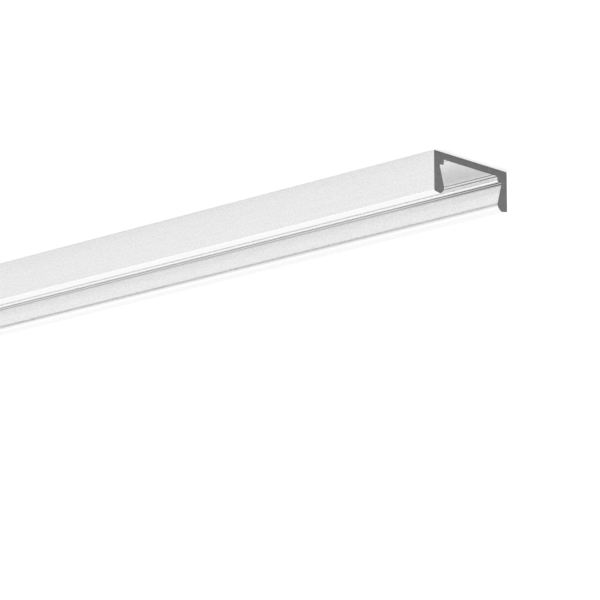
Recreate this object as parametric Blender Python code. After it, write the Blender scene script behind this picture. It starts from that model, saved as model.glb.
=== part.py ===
"""Surface-mounted aluminium channel for an LED strip, one extruded piece.

The channel lies on its flat back with the opening up. X runs along the
length, Y across the width and Z up from the back. The origin is in the
middle of the back. All lengths are in metres.

Each side of the section is the same: an upright outer wall, a square
shoulder at the foot that the strip lies between, an undercut above the
shoulder, and a lip that swells inwards to a rounded nose, behind which a
cover can be snapped.
"""

import math

import bmesh
import bpy
from mathutils import Vector


# The bar
LENGTH = 0.300
WIDTH = 0.0152
HEIGHT = 0.00595
BACK_THICKNESS = 0.0010
END_CHAMFER = 0.00004

# The walls, measured at the neck, where the undercut leaves them thinnest
NECK_THICKNESS = 0.0011

# The shoulder at the foot of each wall
SHOULDER_DEPTH = 0.0009
SHOULDER_RISE = 0.00079
SHOULDER_CORNER_RADIUS = 0.00028
UNDERCUT_RADIUS = 0.00012

# The lip is drawn round two circles. The tip circle gives the crest of the
# rim, and is placed by how far its middle stands in from the outer face. The
# nose circle gives the thickest part of the wall, and is placed by how far
# the nose stands in from the neck and how far its middle lies below the crest.
TIP_INSET = 0.00115
TIP_RADIUS = 0.00040
NOSE_DEPTH = 0.0009
NOSE_DROP = 0.00098
NOSE_RADIUS = 0.00090

# The rim falls from its crest to the outer face
RIM_FALL = 0.00018
RIM_CORNER_RADIUS = 0.00018

# The outer corners of the back
BACK_CORNER_RADIUS = 0.00015

# The shallow groove on each side of the bed that the strip is stuck to
GROOVE_INSET = 0.00100
GROOVE_WIDTH = 0.00036
GROOVE_DEPTH = 0.00004

# Roundness of the arcs: the turn from one facet to the next, and the turn
# from which an edge is shaded as a sharp one
ARC_STEP = math.radians(11)
SHARP_TURN = math.radians(25)

# Satin anodised aluminium
METAL_COLOUR = (0.80, 0.80, 0.81, 1.0)
METAL_ROUGHNESS = 0.42


def clear_scene():
    for obj in list(bpy.data.objects):
        bpy.data.objects.remove(obj, do_unlink=True)


def tangent(first_centre, first_radius, second_centre, second_radius, side):
    """Touching points of a straight line laid against two circles.

    A radius of zero stands for a point. Seen from the first circle to the
    second, the line lies on the right for side +1 and on the left for -1.
    """
    span = second_centre - first_centre
    cosine = (first_radius - second_radius) / span.length
    sine = side * math.sqrt(max(0.0, 1.0 - cosine * cosine))
    along = span.normalized()
    normal = Vector((
        along.x * cosine + along.y * sine,
        along.y * cosine - along.x * sine,
    ))
    return first_centre + normal * first_radius, second_centre + normal * second_radius


def arc(centre, start, end, radius):
    """Points of the shorter arc from start to end, both included."""
    first = math.atan2(start.y - centre.y, start.x - centre.x)
    last = math.atan2(end.y - centre.y, end.x - centre.x)
    sweep = (last - first + math.pi) % (2 * math.pi) - math.pi
    steps = max(1, math.ceil(abs(sweep) / ARC_STEP))
    return [
        centre + radius * Vector((
            math.cos(first + sweep * step / steps),
            math.sin(first + sweep * step / steps),
        ))
        for step in range(steps + 1)
    ]


def rounded_corner(before, corner, after, radius):
    """Arc that rounds a corner, tangent to both of its sides.

    The radius gives way where a side is too short for it.
    """
    arm_in = before - corner
    arm_out = after - corner
    half_angle = arm_in.angle(arm_out) / 2
    shortest = min(arm_in.length, arm_out.length)
    setback = min(radius / math.tan(half_angle), 0.48 * shortest)
    radius = setback * math.tan(half_angle)
    arm_in.normalize()
    arm_out.normalize()
    centre = corner + (arm_in + arm_out).normalized() * (radius / math.sin(half_angle))
    return arc(centre, corner + arm_in * setback, corner + arm_out * setback, radius)


def largest_nose_radius(behind, below):
    """Radius at which the nose circle would take in the tip circle.

    The middle of the tip circle lies so far behind the face of the nose, and
    the middle of the nose circle so far below the middle of the tip circle.
    """
    room = max(behind - TIP_RADIUS, 0.1 * TIP_RADIUS)
    return (behind * behind + below * below - TIP_RADIUS * TIP_RADIUS) / (2 * room)


def half_section():
    """Half of the section, from the middle of the back to the middle of the bed.

    A point is (distance from the middle, height above the back).
    """
    side = WIDTH / 2
    neck = side - NECK_THICKNESS
    shoulder = neck - SHOULDER_DEPTH
    shoulder_top = BACK_THICKNESS + SHOULDER_RISE
    groove = shoulder - GROOVE_INSET

    back_middle = Vector((0.0, 0.0))
    back_corner = Vector((side, 0.0))
    rim_corner = Vector((side, HEIGHT - RIM_FALL))
    tip = Vector((side - TIP_INSET, HEIGHT - TIP_RADIUS))
    nose_face = neck - NOSE_DEPTH
    largest = largest_nose_radius(tip.x - nose_face, NOSE_DROP - TIP_RADIUS)
    nose_radius = min(NOSE_RADIUS, 0.95 * largest)
    nose = Vector((nose_face + nose_radius, HEIGHT - NOSE_DROP))
    undercut = Vector((neck, shoulder_top))
    shoulder_corner = Vector((shoulder, shoulder_top))
    shoulder_foot = Vector((shoulder, BACK_THICKNESS))
    groove_outer = Vector((groove + GROOVE_WIDTH / 2, BACK_THICKNESS))
    groove_bottom = Vector((groove, BACK_THICKNESS - GROOVE_DEPTH))
    groove_inner = Vector((groove - GROOVE_WIDTH / 2, BACK_THICKNESS))
    bed_middle = Vector((0.0, BACK_THICKNESS))

    _, crest_start = tangent(rim_corner, 0.0, tip, TIP_RADIUS, +1)
    lead_in_start, lead_in_end = tangent(tip, TIP_RADIUS, nose, nose_radius, +1)
    taper_start, _ = tangent(nose, nose_radius, undercut, 0.0, +1)

    points = [back_middle]
    points += rounded_corner(back_middle, back_corner, rim_corner, BACK_CORNER_RADIUS)
    points += rounded_corner(back_corner, rim_corner, crest_start, RIM_CORNER_RADIUS)
    points += arc(tip, crest_start, lead_in_start, TIP_RADIUS)
    points += arc(nose, lead_in_end, taper_start, nose_radius)
    points += rounded_corner(taper_start, undercut, shoulder_corner, UNDERCUT_RADIUS)
    points += rounded_corner(undercut, shoulder_corner, shoulder_foot, SHOULDER_CORNER_RADIUS)
    points += [shoulder_foot, groove_outer, groove_bottom, groove_inner, bed_middle]
    return points


def full_section():
    """The closed outline: the half section and its mirror image."""
    right = half_section()
    left = [Vector((-point.x, point.y)) for point in reversed(right[1:-1])]
    return right + left


def extruded_bar():
    """The section drawn along the length, with its sawn ends deburred."""
    mesh = bmesh.new()
    outline = [mesh.verts.new((-LENGTH / 2, point.x, point.y)) for point in full_section()]
    start = mesh.faces.new(outline)
    start_edges = list(start.edges)
    extrusion = bmesh.ops.extrude_face_region(mesh, geom=[start])["geom"]
    far_verts = [item for item in extrusion if isinstance(item, bmesh.types.BMVert)]
    far_edges = [item for item in extrusion if isinstance(item, bmesh.types.BMEdge)]
    bmesh.ops.translate(mesh, vec=(LENGTH, 0.0, 0.0), verts=far_verts)
    bmesh.ops.bevel(
        mesh,
        geom=start_edges + far_edges,
        offset=END_CHAMFER,
        segments=1,
        affect="EDGES",
        clamp_overlap=True,
    )
    bmesh.ops.recalc_face_normals(mesh, faces=mesh.faces)
    return mesh


def anodised_aluminium():
    material = bpy.data.materials.new("anodised_aluminium")
    material.use_nodes = True
    shader = material.node_tree.nodes["Principled BSDF"]
    shader.inputs["Base Color"].default_value = METAL_COLOUR
    shader.inputs["Metallic"].default_value = 1.0
    shader.inputs["Roughness"].default_value = METAL_ROUGHNESS
    return material


def channel_profile():
    bar = extruded_bar()
    mesh = bpy.data.meshes.new("channel_profile")
    bar.to_mesh(mesh)
    bar.free()
    mesh.materials.append(anodised_aluminium())
    mesh.shade_smooth()
    mesh.set_sharp_from_angle(angle=SHARP_TURN)
    profile = bpy.data.objects.new("channel_profile", mesh)
    bpy.context.scene.collection.objects.link(profile)
    return profile


def main():
    clear_scene()
    channel_profile()


main()
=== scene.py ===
"""Dresses a surface-mounted aluminium channel for an LED strip, and its stage.

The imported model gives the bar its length, width and height. The bar is drawn
again from its named sizes, with fine arcs, with satin anodising on everything
that came out of the die and bare metal on the sawn ends. It takes the place
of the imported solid.

The bar lies on its back with the opening up, on a white floor in soft light.
The camera looks along the opening from above and is turned upside down about
its own axis, so that the picture shows the bar as it hangs under a shelf.
X runs along the bar, Y across it and Z up. All lengths are in metres.
"""

import math
from collections import namedtuple

import bpy
from bpy.props import FloatProperty, FloatVectorProperty, IntProperty, PointerProperty
from mathutils import Matrix, Vector
from mathutils.geometry import intersect_line_line


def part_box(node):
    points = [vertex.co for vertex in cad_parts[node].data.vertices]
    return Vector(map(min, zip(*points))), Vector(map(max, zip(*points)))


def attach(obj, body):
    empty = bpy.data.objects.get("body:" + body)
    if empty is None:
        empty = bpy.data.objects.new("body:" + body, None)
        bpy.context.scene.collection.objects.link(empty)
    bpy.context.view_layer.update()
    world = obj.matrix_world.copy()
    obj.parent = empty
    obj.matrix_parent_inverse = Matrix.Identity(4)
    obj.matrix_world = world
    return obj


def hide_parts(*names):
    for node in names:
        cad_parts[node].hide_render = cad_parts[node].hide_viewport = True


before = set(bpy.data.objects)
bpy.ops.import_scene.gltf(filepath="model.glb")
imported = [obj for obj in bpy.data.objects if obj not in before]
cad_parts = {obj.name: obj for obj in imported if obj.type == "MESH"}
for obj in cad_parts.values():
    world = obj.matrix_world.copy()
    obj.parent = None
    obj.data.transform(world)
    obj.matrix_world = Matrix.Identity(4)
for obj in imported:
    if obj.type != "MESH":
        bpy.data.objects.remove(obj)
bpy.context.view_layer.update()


bl_info = {
    "name": "LED Strip Channel",
    "version": (1, 0, 0),
    "blender": (4, 5, 0),
    "location": "3D View > Sidebar > Channel",
    "description": "Draws an aluminium channel for an LED strip, with its finishes and a stage",
    "category": "Object",
}

NODE = "channel_profile"
BAR_LOW, BAR_HIGH = (Vector(corner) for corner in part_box(NODE))
BAR_SIZE = BAR_HIGH - BAR_LOW

# The attribute that tells the corners of the section their radius
CORNER_RADIUS = "corner_radius"

# An edge that turns by more than this is shaded as a sharp one
SHARP_TURN = math.radians(25)

# A face closes an end if its normal has more than this share along the bar
END_FACING = 0.99

# The map that follows the surface: the walls are unrolled over the lower part
# and the two ends lie side by side in the strip above them.
SURFACE_MAP = "OFBake"
WALLS_SHARE = 0.90
ENDS_FOOT = 0.92
ENDS_RISE = 0.07
END_SPREAD = 0.42
END_SHIFT = 0.25

# The way round the section ends where it starts. A point is at the start below
# the first of these shares of the way. Of the two strips that meet there, the
# last one is the one whose middle lies above the second share.
START_SHARE = 1e-6
LAST_STRIP_SHARE = 0.25

# Patterns of the finishes. A scale is the repeats in a metre, and a stretch
# below one draws the pattern out along that axis.
DIE_LINE_SCALE = 5200.0
DIE_LINE_STRETCH = (0.004, 1.0, 1.0)
GRAIN_SCALE = 4200.0
SAW_MARK_SCALE = 9000.0
SAW_MARK_STRETCH = (1.0, 1.0, 0.08)
PATCH_SCALE = 2000.0
LINE_DETAIL = 2.0
GRAIN_DETAIL = 3.0
NOISE_ROUGHNESS = 0.6

# Most of a noise pattern lies between these two values
NOISE_LOW = 0.3
NOISE_HIGH = 0.7

# What each pattern does to the shade, from its low places to its high ones.
# The grain is added to the shade and the others multiply it.
GRAIN_SHADE = (-0.115, 0.095)
DIE_LINE_SHADE = (0.985, 1.015)
SAW_MARK_SHADE = (0.94, 1.06)
PATCH_SHADE = (0.86, 1.14)

# What is added to the roughness in the same way
GRAIN_ROUGHNESS = (-0.01, 0.01)
PATCH_ROUGHNESS = (-0.04, 0.04)

# The relief of the patterns, and the grain's part in it beside the die lines
RELIEF_DEPTH = 0.00001
ANODISED_RELIEF = 0.10
SAWN_RELIEF = 0.25
GRAIN_IN_RELIEF = 0.6

# Places on the section as shares of a radius: how far above the middle of its
# circle a nose is rubbed and has its line of painted shade, how far in from the
# outer face a rim's corner has its full grain again, and how far above the
# ledge the fine line of painted shade on the wall runs
NOSE_RUB_AND_SHADE = 0.25
CORNER_GRAIN = 0.25
WALL_LINE_RISE = 1.2

# How bright the open floor looks, as a share of white, and its gap to the bar
FLOOR_LEVEL = 1.10
FLOOR_GAP = 0.00002

WHITE = (1.0, 1.0, 1.0, 1.0)

# The camera's sensor, in millimetres like its lens
SENSOR_WIDTH = 36.0

# The two inputs and the output that a mix node uses for each kind of data
MIX_SOCKETS = {"VECTOR": (4, 5, 1), "RGBA": (6, 7, 2)}

# How the nodes are laid out in the node editor
NODES_IN_ROW = 12
NODE_WIDTH = 190
NODE_HEIGHT = 260

# Both lie on the right half of the section, so far across from its middle and
# up from the back. A painted shade is a line of darker colour that stands for
# the shade in an inner corner or on the turn of a nose. One that grows is
# darker and wider near the sawn ends.
Corner = namedtuple("Corner", "across up radius")
PaintedShade = namedtuple("PaintedShade", "across up reach depth grows")


# The settings


def length(name, default, description):
    """A size in metres."""
    return FloatProperty(
        name=name,
        description=description,
        default=default,
        min=0.0,
        unit="LENGTH",
        precision=5,
    )


def share(name, default, description):
    """A number from zero to one."""
    return FloatProperty(
        name=name,
        description=description,
        default=default,
        min=0.0,
        max=1.0,
        subtype="FACTOR",
    )


def colour(name, default, description):
    """Red, green and blue, each from zero to one."""
    return FloatVectorProperty(
        name=name,
        description=description,
        default=default,
        min=0.0,
        max=1.0,
        size=3,
        subtype="COLOR",
    )


class SectionSizes(bpy.types.PropertyGroup):
    """Sizes of the section. Both sides of it are alike."""

    bar_length: length("Length", BAR_SIZE.x, "Length of the bar")
    width: length("Width", BAR_SIZE.y, "Width over both walls")
    height: length("Height", BAR_SIZE.z, "Height from the back to the crest of the rims")
    back: length("Back", 0.0010, "Thickness of the back under the strip")
    neck: length("Neck", 0.0011, "Thickness of a wall at the undercut, where it is thinnest")
    shoulder_depth: length("Shoulder depth", 0.0009, "How far a shoulder stands in from the neck")
    shoulder_rise: length("Shoulder rise", 0.00079, "Height of a shoulder above the bed")
    shoulder_corner: length("Shoulder corner", 0.00028, "Radius of a shoulder's upper corner")
    shoulder_foot: length("Shoulder foot", 0.00003, "Radius between a shoulder and the bed")
    undercut: length("Undercut", 0.00012, "Radius between a shoulder and the wall above it")
    tip_inset: length("Tip inset", 0.00115, "From the outer face to the middle of the tip circle")
    tip_radius: length("Tip radius", 0.00040, "Radius of the crest of a rim")
    nose_depth: length("Nose depth", 0.0009, "How far a nose stands in from the neck")
    nose_drop: length("Nose drop", 0.00098, "From the crest down to the middle of the nose circle")
    nose_radius: length("Nose radius", 0.00090, "Radius of a nose")
    rim_fall: length("Rim fall", 0.00018, "How far a rim falls from its crest to the outer face")
    rim_corner: length("Rim corner", 0.00018, "Radius of a rim's outer corner")
    back_corner: length("Back corner", 0.00015, "Radius of the outer corners of the back")
    groove_inset: length("Groove inset", 0.00100, "From a shoulder to the groove beside it")
    groove_width: length("Groove width", 0.00036, "Width of the groove beside a shoulder")
    groove_depth: length("Groove depth", 0.00004, "Depth of the groove beside a shoulder")
    groove_edge: length("Groove edge", 0.00003, "Radius of the groove's edges and bottom")
    deburr: length("Deburr", 0.00004, "Width of the broken edge round each sawn end")
    arc_points: IntProperty(
        name="Arc points",
        description="Facets on each rounded corner of the section",
        default=24,
        min=1,
        max=64,
    )


class FinishSettings(bpy.types.PropertyGroup):
    """Colours and painted shade of the anodised faces, and the bare metal of the sawn ends."""

    anodised_colour: colour(
        "Anodised colour", (0.92, 0.92, 0.92), "Colour of the satin anodised faces"
    )
    anodised_metallic: share(
        "Anodised metallic",
        0.88,
        "Share of bare metal in the look. The rest is the oxide, which scatters",
    )
    anodised_roughness: share(
        "Anodised roughness", 0.29, "Roughness of the satin anodised faces"
    )
    rim_grain: share(
        "Rim grain", 0.20, "Share of the grain that is left on the rims and the lead-ins"
    )
    # Painted shade: these darken the colour in the undercuts, at the feet of the shoulders and in the
    # grooves, where shade falls.
    undercut_painted_shade: share(
        "Undercut stain", 0.12, "How much darker the metal is in the undercut above a shoulder"
    )
    undercut_reach: length("Undercut reach", 0.0006, "Distance over which that stain fades out")
    line_painted_shade: share(
        "Line stain", 0.58, "How much darker the two fine lines are in each undercut"
    )
    line_reach: length("Line reach", 0.00011, "Distance over which a fine line fades out")
    foot_painted_shade: share(
        "Foot stain", 0.50, "How much darker the metal is at the foot of a shoulder"
    )
    foot_reach: length("Foot reach", 0.00010, "Distance over which the foot's stain fades out")
    groove_painted_shade: share(
        "Groove stain", 0.58, "How much darker the metal is in the grooves of the bed"
    )
    groove_reach: length("Groove reach", 0.00013, "Distance over which the groove's stain fades out")
    # End gain and end reach deepen and widen the painted shade near each sawn end.
    end_gain: FloatProperty(
        name="End gain",
        description="How many times darker and wider the lines and grooves are at a sawn end",
        default=1.64,
        min=1.0,
        max=3.0,
    )
    end_reach: length("End reach", 0.022, "Distance from a sawn end over which that gain fades out")
    # Painted shade: a darker line along the turn of each nose, standing for the shade there.
    nose_painted_shade: share(
        "Nose stain", 0.20, "How much darker the metal is along a nose, where covers rub"
    )
    nose_reach: length("Nose reach", 0.00048, "Distance over which the nose's stain fades out")
    # The dark sawn colour is partly the bare metal's own grey and partly painted shade for ends that
    # face away from the light.
    sawn_colour_and_shade: colour(
        "Sawn colour", (0.215, 0.215, 0.215), "Colour of the bare metal on the sawn ends"
    )
    sawn_roughness: share(
        "Sawn roughness", 0.55, "Roughness of the bare metal on the sawn ends"
    )


class StageSettings(bpy.types.PropertyGroup):
    """Floor, light and camera."""

    floor_size: FloatProperty(
        name="Floor size",
        description="Side of the square floor",
        default=60.0,
        min=1.0,
        unit="LENGTH",
    )
    floor_colour: colour("Floor colour", (0.60, 0.60, 0.60), "Colour of the floor")
    floor_in_metal: share(
        "Floor in metal", 0.64, "Share of the floor's glow that shows in the bar's metal"
    )
    sky_light: FloatProperty(
        name="Sky light",
        description="Strength of the even light from all round",
        default=1.03,
        min=0.0,
    )
    lamp_light: FloatProperty(
        name="Lamp light",
        description="Light that the large lamp lays on the floor, as a share of white",
        default=0.012,
        min=0.0,
    )
    lamp_spread: FloatProperty(
        name="Lamp spread",
        description="Angle that the large lamp fills, seen from the bar",
        default=math.radians(50),
        min=0.0,
        max=math.pi,
        subtype="ANGLE",
    )
    lamp_side: FloatVectorProperty(
        name="Lamp side",
        description="Direction from the bar to the middle of the lamp",
        default=(0.67, -0.62, 0.36),
        size=3,
        subtype="DIRECTION",
    )
    lens: FloatProperty(
        name="Lens",
        description="Focal length of the camera on its 36 mm sensor, in millimetres",
        default=253.08,
        min=1.0,
        subtype="DISTANCE_CAMERA",
    )
    heading: FloatProperty(
        name="Heading",
        description="Direction that the camera looks in, from +Y towards +X",
        default=math.radians(43.415),
        subtype="ANGLE",
    )
    dip: FloatProperty(
        name="Dip",
        description="How far the camera looks down",
        default=math.radians(14.537),
        subtype="ANGLE",
    )
    roll: FloatProperty(
        name="Roll",
        description="Turn of the camera about its own axis",
        default=math.pi,
        subtype="ANGLE",
    )
    stand_off: FloatVectorProperty(
        name="Stand-off",
        description="From the near lower corner of the bar's end to the camera",
        default=(-0.36666, -0.41422, 0.16460),
        size=3,
        subtype="TRANSLATION",
        unit="LENGTH",
    )


# The nodes


def add_node(tree, kind, sockets=None, **settings):
    """Adds a node, with each named or numbered input set or linked."""
    row, column = divmod(len(tree.nodes), NODES_IN_ROW)
    made = tree.nodes.new(kind)
    made.location = (column * NODE_WIDTH, -row * NODE_HEIGHT)
    for name, value in settings.items():
        setattr(made, name, value)
    for key, value in (sockets or {}).items():
        if isinstance(value, bpy.types.NodeSocket):
            tree.links.new(value, made.inputs[key])
        else:
            made.inputs[key].default_value = value
    return made


def reading(tree, kind, name=0):
    """What a node without inputs gives."""
    return add_node(tree, kind).outputs[name]


def number(tree, operation, first, second=0.0):
    """What one step of arithmetic gives for one or two numbers."""
    return add_node(tree, "ShaderNodeMath", {0: first, 1: second}, operation=operation).outputs[0]


def split(tree, vector):
    """X, Y and Z of a vector."""
    return add_node(tree, "ShaderNodeSeparateXYZ", {0: vector}).outputs


def joined(tree, x=0.0, y=0.0, z=0.0):
    """A vector made of its three numbers."""
    return add_node(tree, "ShaderNodeCombineXYZ", {0: x, 1: y, 2: z}).outputs[0]


def ramp(tree, value, start, stop, low, high, easing="SMOOTHSTEP"):
    """Goes from low to high as the value goes from start to stop."""
    return add_node(
        tree,
        "ShaderNodeMapRange",
        {"Value": value, "From Min": start, "From Max": stop, "To Min": low, "To Max": high},
        interpolation_type=easing,
    ).outputs[0]


def mixed(tree, kind, factor, first, second, **settings):
    """Two values of one kind of data, mixed by the factor."""
    first_input, second_input, output = MIX_SOCKETS[kind]
    return add_node(
        tree,
        "ShaderNodeMix",
        {"Factor": factor, first_input: first, second_input: second},
        data_type=kind,
        **settings,
    ).outputs[output]


# The section


def flat(point):
    """A point of the section, with zero for its third number."""
    return Vector((point.x, point.y, 0.0))


def tangent(first, first_radius, second, second_radius):
    """Touching points of the line on the right of two circles, from first to second.

    A radius of zero stands for a point.
    """
    span = second - first
    cosine = (first_radius - second_radius) / span.length
    sine = math.sqrt(max(0.0, 1.0 - cosine * cosine))
    along = span.normalized()
    normal = Vector((along.x * cosine + along.y * sine, along.y * cosine - along.x * sine))
    return first + normal * first_radius, second + normal * second_radius


def crossing(first_line, second_line):
    """Where two lines meet, each given by two of its points."""
    points = [flat(point) for point in (*first_line, *second_line)]
    return intersect_line_line(*points)[0].to_2d()


def half_corners(sizes):
    """Corners of the right half, from the middle of the back round to the groove."""
    side = sizes.width / 2
    neck = side - sizes.neck
    shoulder = neck - sizes.shoulder_depth
    ledge = sizes.back + sizes.shoulder_rise
    groove = shoulder - sizes.groove_inset

    rim_corner = Vector((side, sizes.height - sizes.rim_fall))
    undercut = Vector((neck, ledge))
    tip = Vector((side - sizes.tip_inset, sizes.height - sizes.tip_radius))
    nose = Vector((neck - sizes.nose_depth + sizes.nose_radius, sizes.height - sizes.nose_drop))
    rim = tangent(rim_corner, 0.0, tip, sizes.tip_radius)
    lead_in = tangent(tip, sizes.tip_radius, nose, sizes.nose_radius)
    taper = tangent(nose, sizes.nose_radius, undercut, 0.0)

    return {
        "back": Corner(side, 0.0, sizes.back_corner),
        "rim": Corner(*rim_corner, sizes.rim_corner),
        "tip": Corner(*crossing(rim, lead_in), sizes.tip_radius),
        "nose": Corner(*crossing(lead_in, taper), sizes.nose_radius),
        "undercut": Corner(*undercut, sizes.undercut),
        "shoulder": Corner(shoulder, ledge, sizes.shoulder_corner),
        "foot": Corner(shoulder, sizes.back, sizes.shoulder_foot),
        "groove's outer edge": Corner(groove + sizes.groove_width / 2, sizes.back, sizes.groove_edge),
        "groove": Corner(groove, sizes.back - sizes.groove_depth, sizes.groove_edge),
        "groove's inner edge": Corner(groove - sizes.groove_width / 2, sizes.back, sizes.groove_edge),
    }


def rubbed_and_shaded_height(sizes):
    """Where a cover rubs on a nose and its line of painted shade runs, above the back."""
    return sizes.height - sizes.nose_drop + NOSE_RUB_AND_SHADE * sizes.nose_radius


def section_mesh(sizes):
    """The whole section with sharp corners, each carrying the radius it is to get."""
    right = list(half_corners(sizes).values())
    left = [Corner(-corner.across, corner.up, corner.radius) for corner in reversed(right)]
    corners = right + left
    mesh = bpy.data.meshes.new("section")
    mesh.from_pydata(
        [(corner.across, corner.up, 0.0) for corner in corners],
        [(index, (index + 1) % len(corners)) for index in range(len(corners))],
        [],
    )
    radii = mesh.attributes.new(CORNER_RADIUS, "FLOAT", "POINT")
    radii.data.foreach_set("value", [corner.radius for corner in corners])
    return mesh


# The bar, drawn out of its section


def rounded_outline(tree, section, arc_points):
    """The section as a closed curve with rounded corners."""
    outline = add_node(tree, "GeometryNodeMeshToCurve", {0: section}).outputs[0]
    radius = add_node(
        tree, "GeometryNodeInputNamedAttribute", {"Name": CORNER_RADIUS}, data_type="FLOAT"
    ).outputs[0]
    return add_node(
        tree,
        "GeometryNodeFilletCurve",
        {"Curve": outline, "Count": arc_points, "Radius": radius, "Limit Radius": True},
        mode="POLY",
    ).outputs[0]


def marked_outline(tree, outline):
    """The outline, the direction into the metal and the share of the way round.

    The points keep both while the bar is drawn. The outline runs with the metal
    on its left, so a quarter turn of its direction points inwards.
    """
    direction = split(tree, reading(tree, "GeometryNodeInputTangent"))
    inwards = joined(tree, 0.0, number(tree, "MULTIPLY", direction["Y"], -1.0), direction["X"])
    kept = add_node(tree, "GeometryNodeCaptureAttribute", {"Geometry": outline}, domain="POINT")
    kept.capture_items.new("VECTOR", "Inwards")
    kept.capture_items.new("FLOAT", "Round Share")
    tree.links.new(inwards, kept.inputs["Inwards"])
    round_share = reading(tree, "GeometryNodeSplineParameter", "Factor")
    tree.links.new(round_share, kept.inputs["Round Share"])
    return kept.outputs["Geometry"], kept.outputs["Inwards"], kept.outputs["Round Share"]


def swept(tree, outline, bar_length, deburr):
    """The outline drawn along the bar, short of its broken edges, and closed."""
    half = number(tree, "SUBTRACT", number(tree, "DIVIDE", bar_length, 2.0), deburr)
    start = joined(tree, number(tree, "MULTIPLY", half, -1.0))
    rail = add_node(
        tree, "GeometryNodeCurvePrimitiveLine", {"Start": start, "End": joined(tree, half)}
    ).outputs[0]
    bar = add_node(
        tree,
        "GeometryNodeCurveToMesh",
        {"Curve": rail, "Profile Curve": outline, "Fill Caps": True},
    ).outputs[0]
    # The sweep leaves the section upside down on its rail
    return add_node(
        tree, "GeometryNodeTransform", {"Geometry": bar, "Rotation": (math.pi, 0.0, 0.0)}
    ).outputs[0]


def is_end(tree):
    """One on the faces that close the bar's ends."""
    facing = split(tree, reading(tree, "GeometryNodeInputNormal"))
    return number(tree, "GREATER_THAN", number(tree, "ABSOLUTE", facing["X"]), END_FACING)


def broken_ends(tree, bar, inwards, deburr):
    """Draws each end out by the width of its broken edge and narrows it by as much.

    Also returns which faces are sawn: the ends and their broken edges.
    """
    drawn = add_node(
        tree,
        "GeometryNodeExtrudeMesh",
        {"Mesh": bar, "Selection": is_end(tree), "Offset Scale": deburr, "Individual": False},
        mode="FACES",
    ).outputs
    pulled_in = add_node(
        tree, "ShaderNodeVectorMath", {0: inwards, "Scale": deburr}, operation="SCALE"
    ).outputs[0]
    bar = add_node(
        tree,
        "GeometryNodeSetPosition",
        {"Geometry": drawn["Mesh"], "Selection": drawn["Top"], "Offset": pulled_in},
    ).outputs[0]
    sawn = add_node(
        tree, "FunctionNodeBooleanMath", {0: drawn["Top"], 1: drawn["Side"]}, operation="OR"
    ).outputs[0]
    return bar, sawn


def surface_map(tree, bar, bar_length, width, height, round_share):
    """Stores the map that follows the surface, and returns the geometry.

    On the walls the first number runs along the bar and the second round the
    section. The section closes at zero, so the last strip's far edge is one.
    """
    place = split(tree, reading(tree, "GeometryNodeInputPosition"))
    along = number(tree, "ADD", number(tree, "DIVIDE", place["X"], bar_length), 0.5)
    strip_middle = add_node(
        tree, "GeometryNodeFieldOnDomain", {0: round_share}, domain="FACE"
    ).outputs[0]
    at_start = number(tree, "LESS_THAN", round_share, START_SHARE)
    in_last_strip = number(tree, "GREATER_THAN", strip_middle, LAST_STRIP_SHARE)
    around = number(tree, "ADD", round_share, number(tree, "MULTIPLY", at_start, in_last_strip))
    walls = joined(tree, along, number(tree, "MULTIPLY", around, WALLS_SHARE))

    facing = split(tree, reading(tree, "GeometryNodeInputNormal"))
    side = number(tree, "MULTIPLY", number(tree, "SIGN", facing["X"]), END_SHIFT)
    across = number(tree, "MULTIPLY", number(tree, "DIVIDE", place["Y"], width), END_SPREAD)
    up = number(tree, "MULTIPLY", number(tree, "DIVIDE", place["Z"], height), ENDS_RISE)
    ends = joined(
        tree,
        number(tree, "ADD", number(tree, "ADD", across, side), 0.5),
        number(tree, "ADD", up, ENDS_FOOT),
    )
    place_on_map = mixed(tree, "VECTOR", is_end(tree), walls, ends)
    return add_node(
        tree,
        "GeometryNodeStoreNamedAttribute",
        {"Geometry": bar, "Name": SURFACE_MAP, "Value": place_on_map},
        data_type="FLOAT2",
        domain="CORNER",
    ).outputs[0]


def smooth_arcs(tree, bar):
    """Shades the bar smooth, apart from its sharp edges."""
    bar = add_node(tree, "GeometryNodeSetShadeSmooth", {"Geometry": bar}, domain="FACE").outputs[0]
    turn = reading(tree, "GeometryNodeInputMeshEdgeAngle", "Unsigned Angle")
    is_sharp = number(tree, "GREATER_THAN", turn, SHARP_TURN)
    return add_node(
        tree,
        "GeometryNodeSetShadeSmooth",
        {"Geometry": bar, "Selection": is_sharp, "Shade Smooth": False},
        domain="EDGE",
    ).outputs[0]


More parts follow.
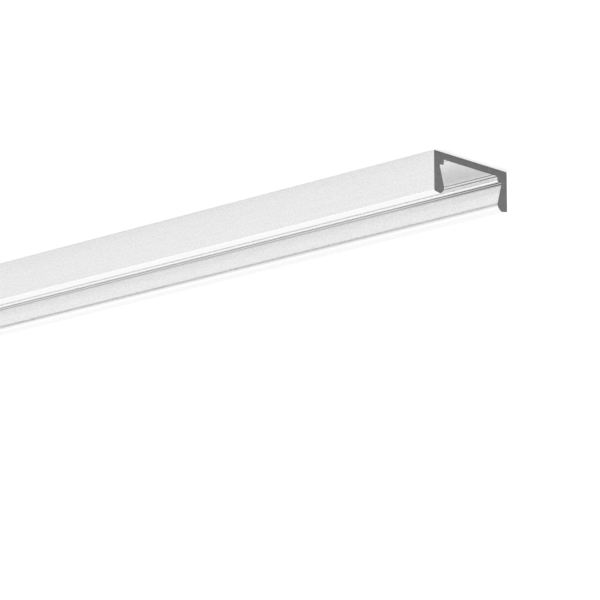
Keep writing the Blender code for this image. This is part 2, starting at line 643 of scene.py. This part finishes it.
def extrusion_tree():
    """Geometry nodes that round the section's corners and draw the bar out of it."""
    tree = bpy.data.node_groups.new("extruded_channel", "GeometryNodeTree")
    interface = tree.interface
    interface.new_socket("Section", in_out="INPUT", socket_type="NodeSocketGeometry")
    for name in ("Length", "Width", "Height", "Deburr"):
        socket = interface.new_socket(name, in_out="INPUT", socket_type="NodeSocketFloat")
        socket.subtype = "DISTANCE"
        socket.min_value = 0.0
    interface.new_socket("Arc Points", in_out="INPUT", socket_type="NodeSocketInt")
    interface.new_socket("Anodised", in_out="INPUT", socket_type="NodeSocketMaterial")
    interface.new_socket("Sawn", in_out="INPUT", socket_type="NodeSocketMaterial")
    interface.new_socket("Bar", in_out="OUTPUT", socket_type="NodeSocketGeometry")
    given = add_node(tree, "NodeGroupInput").outputs

    outline = rounded_outline(tree, given["Section"], given["Arc Points"])
    outline, inwards, round_share = marked_outline(tree, outline)
    bar = swept(tree, outline, given["Length"], given["Deburr"])
    bar, sawn = broken_ends(tree, bar, inwards, given["Deburr"])
    bar = surface_map(tree, bar, given["Length"], given["Width"], given["Height"], round_share)
    bar = smooth_arcs(tree, bar)
    bar = add_node(tree, "GeometryNodeRealizeInstances", {0: bar}).outputs[0]
    bar = add_node(
        tree, "GeometryNodeSetMaterial", {"Geometry": bar, "Material": given["Anodised"]}
    ).outputs[0]
    bar = add_node(
        tree,
        "GeometryNodeSetMaterial",
        {"Geometry": bar, "Selection": sawn, "Material": given["Sawn"]},
    ).outputs[0]
    add_node(tree, "NodeGroupOutput", {0: bar})
    return tree


def give_inputs(modifier, values):
    """Sets a modifier's inputs by the sockets' identifiers."""
    for item in modifier.node_group.interface.items_tree:
        if item.item_type == "SOCKET" and item.in_out == "INPUT" and item.name in values:
            modifier[item.identifier] = values[item.name]


def made_plain(source, name):
    """A plain mesh object of what the source's modifiers draw. The source is removed."""
    depsgraph = bpy.context.evaluated_depsgraph_get()
    mesh = bpy.data.meshes.new_from_object(source.evaluated_get(depsgraph))
    mesh.name = name
    piece = bpy.data.objects.new(name, mesh)
    bpy.context.scene.collection.objects.link(piece)
    bpy.data.objects.remove(source, do_unlink=True)
    return piece


# The finishes


def place_on_bar(tree):
    """X, Y and Z of a point in the bar's own coordinates."""
    return split(tree, reading(tree, "ShaderNodeTexCoord", "Object"))


def noise(tree, scale, detail, stretch=(1.0, 1.0, 1.0)):
    """Noise in the bar's own coordinates, scale being its repeats in a metre."""
    place = reading(tree, "ShaderNodeTexCoord", "Object")
    mapping = add_node(tree, "ShaderNodeMapping", {"Vector": place, "Scale": stretch}).outputs[0]
    return add_node(
        tree,
        "ShaderNodeTexNoise",
        {"Vector": mapping, "Scale": scale, "Detail": detail, "Roughness": NOISE_ROUGHNESS},
    ).outputs["Fac"]


def between(tree, pattern, low, high):
    """A number that follows a noise pattern from low to high."""
    return ramp(tree, pattern, NOISE_LOW, NOISE_HIGH, low, high, easing="LINEAR")


def tinted(tree, tint, strength):
    """The tint times a strength that varies over the surface."""
    grey = add_node(
        tree, "ShaderNodeCombineColor", {0: strength, 1: strength, 2: strength}
    ).outputs[0]
    return mixed(tree, "RGBA", 1.0, (*tint, 1.0), grey, blend_type="MULTIPLY")


def relief(tree, strength, pattern):
    """Fine bumps that follow a pattern."""
    return add_node(
        tree, "ShaderNodeBump", {"Strength": strength, "Distance": RELIEF_DEPTH, "Height": pattern}
    ).outputs[0]


def metal(name):
    """A new material, its nodes and the inputs of its shader."""
    material = bpy.data.materials.new(name)
    material.use_nodes = True
    tree = material.node_tree
    return material, tree, tree.nodes["Principled BSDF"].inputs


def painted_shades(finish, sizes):
    """The lines of painted shade on the anodised section, and which of them grow towards the ends."""
    corners = half_corners(sizes)
    undercut = corners["undercut"]
    shoulder = corners["shoulder"]
    foot = corners["foot"]
    groove = corners["groove"]
    ledge_middle = (shoulder.across + shoulder.radius + undercut.across) / 2
    wall_line = undercut.up + WALL_LINE_RISE * undercut.radius
    slope_middle = (groove.across + corners["groove's outer edge"].across) / 2
    nose = undercut.across - sizes.nose_depth
    return (
        PaintedShade(undercut.across, undercut.up, finish.undercut_reach, finish.undercut_painted_shade, False),
        PaintedShade(ledge_middle, undercut.up, finish.line_reach, finish.line_painted_shade, True),
        PaintedShade(undercut.across, wall_line, finish.line_reach, finish.line_painted_shade, True),
        PaintedShade(foot.across, foot.up, finish.foot_reach, finish.foot_painted_shade, True),
        PaintedShade(
            slope_middle, (groove.up + foot.up) / 2, finish.groove_reach, finish.groove_painted_shade, True
        ),
        PaintedShade(nose, rubbed_and_shaded_height(sizes), finish.nose_reach, finish.nose_painted_shade, False),
    )


def unshaded_share(tree, painted_shade, gain):
    """The share of the colour that a line of painted shade leaves: least on its line, and all past
    its reach.

    The gain multiplies the painted shade's depth and reach, and may vary along the bar.
    """
    place = place_on_bar(tree)
    on_section = joined(tree, 0.0, number(tree, "ABSOLUTE", place["Y"]), place["Z"])
    away = add_node(
        tree,
        "ShaderNodeVectorMath",
        {0: on_section, 1: (0.0, painted_shade.across, painted_shade.up)},
        operation="DISTANCE",
    ).outputs["Value"]
    reach = number(tree, "MULTIPLY", gain, painted_shade.reach)
    depth = number(tree, "MINIMUM", number(tree, "MULTIPLY", gain, painted_shade.depth), 1.0)
    return ramp(tree, away, 0.0, reach, number(tree, "SUBTRACT", 1.0, depth), 1.0)


def gain_at_ends(tree, sizes, gain, reach):
    """One along the bar, rising to the gain over the last stretch before each sawn end."""
    from_middle = number(tree, "ABSOLUTE", place_on_bar(tree)["X"])
    half = sizes.bar_length / 2
    return ramp(tree, from_middle, half - reach, half, 1.0, gain, easing="LINEAR")


def grain_left(tree, sizes, rim_grain):
    """One on the walls and the bed, and less on the rims and their lead-ins."""
    place = place_on_bar(tree)
    nose = sizes.height - sizes.nose_drop
    below_nose = ramp(tree, place["Z"], nose, rubbed_and_shaded_height(sizes), 1.0, rim_grain)
    side = sizes.width / 2
    on_outer_face = ramp(
        tree,
        number(tree, "ABSOLUTE", place["Y"]),
        side - sizes.rim_corner,
        side - CORNER_GRAIN * sizes.rim_corner,
        0.0,
        1.0,
    )
    return number(tree, "MAXIMUM", below_nose, on_outer_face)


def satin_anodised(finish, sizes):
    """Satin anodised metal: faint die lines along the bar under a fine even grain.

    Painted shade darkens the inner corners and the turn of each nose, and covers rub the rims smooth.
    """
    material, tree, shader = metal("satin_anodised_aluminium")
    die_lines = noise(tree, DIE_LINE_SCALE, LINE_DETAIL, DIE_LINE_STRETCH)
    grain = noise(tree, GRAIN_SCALE, GRAIN_DETAIL)
    left = grain_left(tree, sizes, finish.rim_grain)

    speckle = number(tree, "MULTIPLY", between(tree, grain, *GRAIN_SHADE), left)
    shade = number(
        tree,
        "MULTIPLY",
        between(tree, die_lines, *DIE_LINE_SHADE),
        number(tree, "ADD", speckle, 1.0),
    )
    # Painted shade: each line darkens the colour round an inner corner or along a nose, and the
    # growing ones more near the sawn ends.
    at_ends = gain_at_ends(tree, sizes, finish.end_gain, finish.end_reach)
    for painted_shade in painted_shades(finish, sizes):
        gain = at_ends if painted_shade.grows else 1.0
        shade = number(tree, "MULTIPLY", shade, unshaded_share(tree, painted_shade, gain))

    rough = number(tree, "ADD", between(tree, grain, *GRAIN_ROUGHNESS), finish.anodised_roughness)
    pattern = number(tree, "ADD", die_lines, number(tree, "MULTIPLY", grain, GRAIN_IN_RELIEF))
    bump = relief(tree, number(tree, "MULTIPLY", left, ANODISED_RELIEF), pattern)
    tree.links.new(tinted(tree, finish.anodised_colour, shade), shader["Base Color"])
    tree.links.new(rough, shader["Roughness"])
    tree.links.new(bump, shader["Normal"])
    shader["Metallic"].default_value = finish.anodised_metallic
    return material


def sawn_metal(finish):
    """Bare metal left by the saw: fine marks across the end, a little uneven. Its dark colour is
    partly painted shade.
    """
    material, tree, shader = metal("sawn_aluminium")
    marks = noise(tree, SAW_MARK_SCALE, LINE_DETAIL, SAW_MARK_STRETCH)
    patches = noise(tree, PATCH_SCALE, GRAIN_DETAIL)
    shade = number(
        tree,
        "MULTIPLY",
        between(tree, marks, *SAW_MARK_SHADE),
        between(tree, patches, *PATCH_SHADE),
    )
    rough = number(tree, "ADD", between(tree, patches, *PATCH_ROUGHNESS), finish.sawn_roughness)
    bump = relief(tree, SAWN_RELIEF, marks)
    # The sawn colour is partly the metal's own grey and partly painted shade.
    tree.links.new(tinted(tree, finish.sawn_colour_and_shade, shade), shader["Base Color"])
    tree.links.new(rough, shader["Roughness"])
    tree.links.new(bump, shader["Normal"])
    shader["Metallic"].default_value = 1.0
    return material


# The stage


def seen_share(tree, in_metal):
    """One for the camera and through glass, and a share of it for what metal mirrors."""
    path = add_node(tree, "ShaderNodeLightPath").outputs
    mirrored = number(tree, "MULTIPLY", path["Is Glossy Ray"], in_metal)
    seen = number(tree, "MAXIMUM", path["Is Camera Ray"], mirrored)
    return number(tree, "MAXIMUM", seen, path["Is Transmission Ray"])


def white_floor(stage):
    """A pale floor that looks white where it is lit and keeps the bar's shadow.

    A glow that lights nothing makes up what the lit floor lacks of its level.
    """
    material = bpy.data.materials.new("white_floor")
    material.use_nodes = True
    tree = material.node_tree
    tree.nodes.clear()
    paint = add_node(tree, "ShaderNodeBsdfDiffuse", {"Color": (*stage.floor_colour, 1.0)})
    light = stage.sky_light + stage.lamp_light
    missing = max(0.0, FLOOR_LEVEL - light * min(stage.floor_colour))
    glow = add_node(
        tree,
        "ShaderNodeEmission",
        {"Strength": number(tree, "MULTIPLY", seen_share(tree, stage.floor_in_metal), missing)},
    )
    both = add_node(tree, "ShaderNodeAddShader", {0: paint.outputs[0], 1: glow.outputs[0]})
    add_node(tree, "ShaderNodeOutputMaterial", {"Surface": both.outputs[0]})
    return material


def lay_floor(stage):
    """A square floor just under the bar."""
    half = stage.floor_size / 2
    mesh = bpy.data.meshes.new("floor")
    mesh.from_pydata(
        [(-half, -half, 0.0), (half, -half, 0.0), (half, half, 0.0), (-half, half, 0.0)],
        [],
        [(0, 1, 2, 3)],
    )
    mesh.materials.append(white_floor(stage))
    floor = bpy.data.objects.new("floor", mesh)
    floor.location.z = BAR_LOW.z - FLOOR_GAP
    bpy.context.scene.collection.objects.link(floor)


def light_world(stage):
    """An even white light from all round."""
    world = bpy.data.worlds.new("studio")
    bpy.context.scene.world = world
    world.use_nodes = True
    sky = world.node_tree.nodes["Background"].inputs
    sky["Color"].default_value = WHITE
    sky["Strength"].default_value = stage.sky_light


def hang_lamp(stage):
    """One large soft lamp, as far away as the sun so that it lights the floor evenly."""
    towards = Vector(stage.lamp_side).normalized()
    lamp = bpy.data.lights.new("large_lamp", "SUN")
    lamp.angle = stage.lamp_spread
    lamp.energy = stage.lamp_light * math.pi / towards.z
    holder = bpy.data.objects.new("large_lamp", lamp)
    holder.rotation_euler = towards.to_track_quat("Z", "Y").to_euler()
    bpy.context.scene.collection.objects.link(holder)


def place_camera(stage):
    """A camera beside the bar's end, placed and turned as the settings say."""
    lens = bpy.data.cameras.new("camera")
    lens.lens = stage.lens
    lens.sensor_width = SENSOR_WIDTH
    camera = bpy.data.objects.new("camera", lens)
    turn = (
        Matrix.Rotation(-stage.heading, 4, "Z")
        @ Matrix.Rotation(math.pi / 2 - stage.dip, 4, "X")
        @ Matrix.Rotation(stage.roll, 4, "Z")
    )
    place = Matrix.Translation(BAR_LOW + Vector(stage.stand_off))
    camera.matrix_world = place @ turn
    bpy.context.scene.collection.objects.link(camera)
    bpy.context.scene.camera = camera


# The buttons


class CHANNEL_OT_bar(bpy.types.Operator):
    """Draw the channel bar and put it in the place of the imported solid"""

    bl_idname = "channel.bar"
    bl_label = "Channel Bar"

    def execute(self, context):
        sizes = context.scene.channel_section
        finish = context.scene.channel_finish
        source = bpy.data.objects.new("section", section_mesh(sizes))
        context.scene.collection.objects.link(source)
        modifier = source.modifiers.new("extrusion", "NODES")
        modifier.node_group = extrusion_tree()
        give_inputs(
            modifier,
            {
                "Length": sizes.bar_length,
                "Width": sizes.width,
                "Height": sizes.height,
                "Deburr": sizes.deburr,
                "Arc Points": sizes.arc_points,
                "Anodised": satin_anodised(finish, sizes),
                "Sawn": sawn_metal(finish),
            },
        )
        bar = made_plain(source, "channel_bar")
        if not bar.data.polygons:
            raise RuntimeError("the extrusion drew no faces")
        bar.data.attributes.remove(bar.data.attributes[CORNER_RADIUS])
        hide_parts(NODE)
        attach(bar, "root")
        return {"FINISHED"}


class CHANNEL_OT_stage(bpy.types.Operator):
    """Lay the floor, light it and place the camera"""

    bl_idname = "channel.stage"
    bl_label = "Stage"

    def execute(self, context):
        stage = context.scene.channel_stage
        lay_floor(stage)
        light_world(stage)
        hang_lamp(stage)
        place_camera(stage)
        context.scene.view_settings.view_transform = "Standard"
        return {"FINISHED"}


class CHANNEL_PT_sidebar(bpy.types.Panel):
    """The settings, and the buttons that draw the bar and its stage"""

    bl_label = "LED Strip Channel"
    bl_idname = "CHANNEL_PT_sidebar"
    bl_space_type = "VIEW_3D"
    bl_region_type = "UI"
    bl_category = "Channel"

    def draw(self, context):
        layout = self.layout
        layout.use_property_split = True
        for title, settings, operator in (
            ("Section", context.scene.channel_section, CHANNEL_OT_bar),
            ("Finish", context.scene.channel_finish, None),
            ("Stage", context.scene.channel_stage, CHANNEL_OT_stage),
        ):
            box = layout.box()
            box.label(text=title)
            for name in type(settings).__annotations__:
                box.prop(settings, name)
            if operator:
                box.operator(operator.bl_idname)


CLASSES = (
    SectionSizes,
    FinishSettings,
    StageSettings,
    CHANNEL_OT_bar,
    CHANNEL_OT_stage,
    CHANNEL_PT_sidebar,
)


def register():
    for item in CLASSES:
        bpy.utils.register_class(item)
    bpy.types.Scene.channel_section = PointerProperty(type=SectionSizes)
    bpy.types.Scene.channel_finish = PointerProperty(type=FinishSettings)
    bpy.types.Scene.channel_stage = PointerProperty(type=StageSettings)


def unregister():
    del bpy.types.Scene.channel_stage
    del bpy.types.Scene.channel_finish
    del bpy.types.Scene.channel_section
    for item in reversed(CLASSES):
        bpy.utils.unregister_class(item)


def main():
    """Draws the bar and its stage."""
    register()
    bpy.ops.channel.bar()
    bpy.ops.channel.stage()


if __name__ == "__main__":
    main()
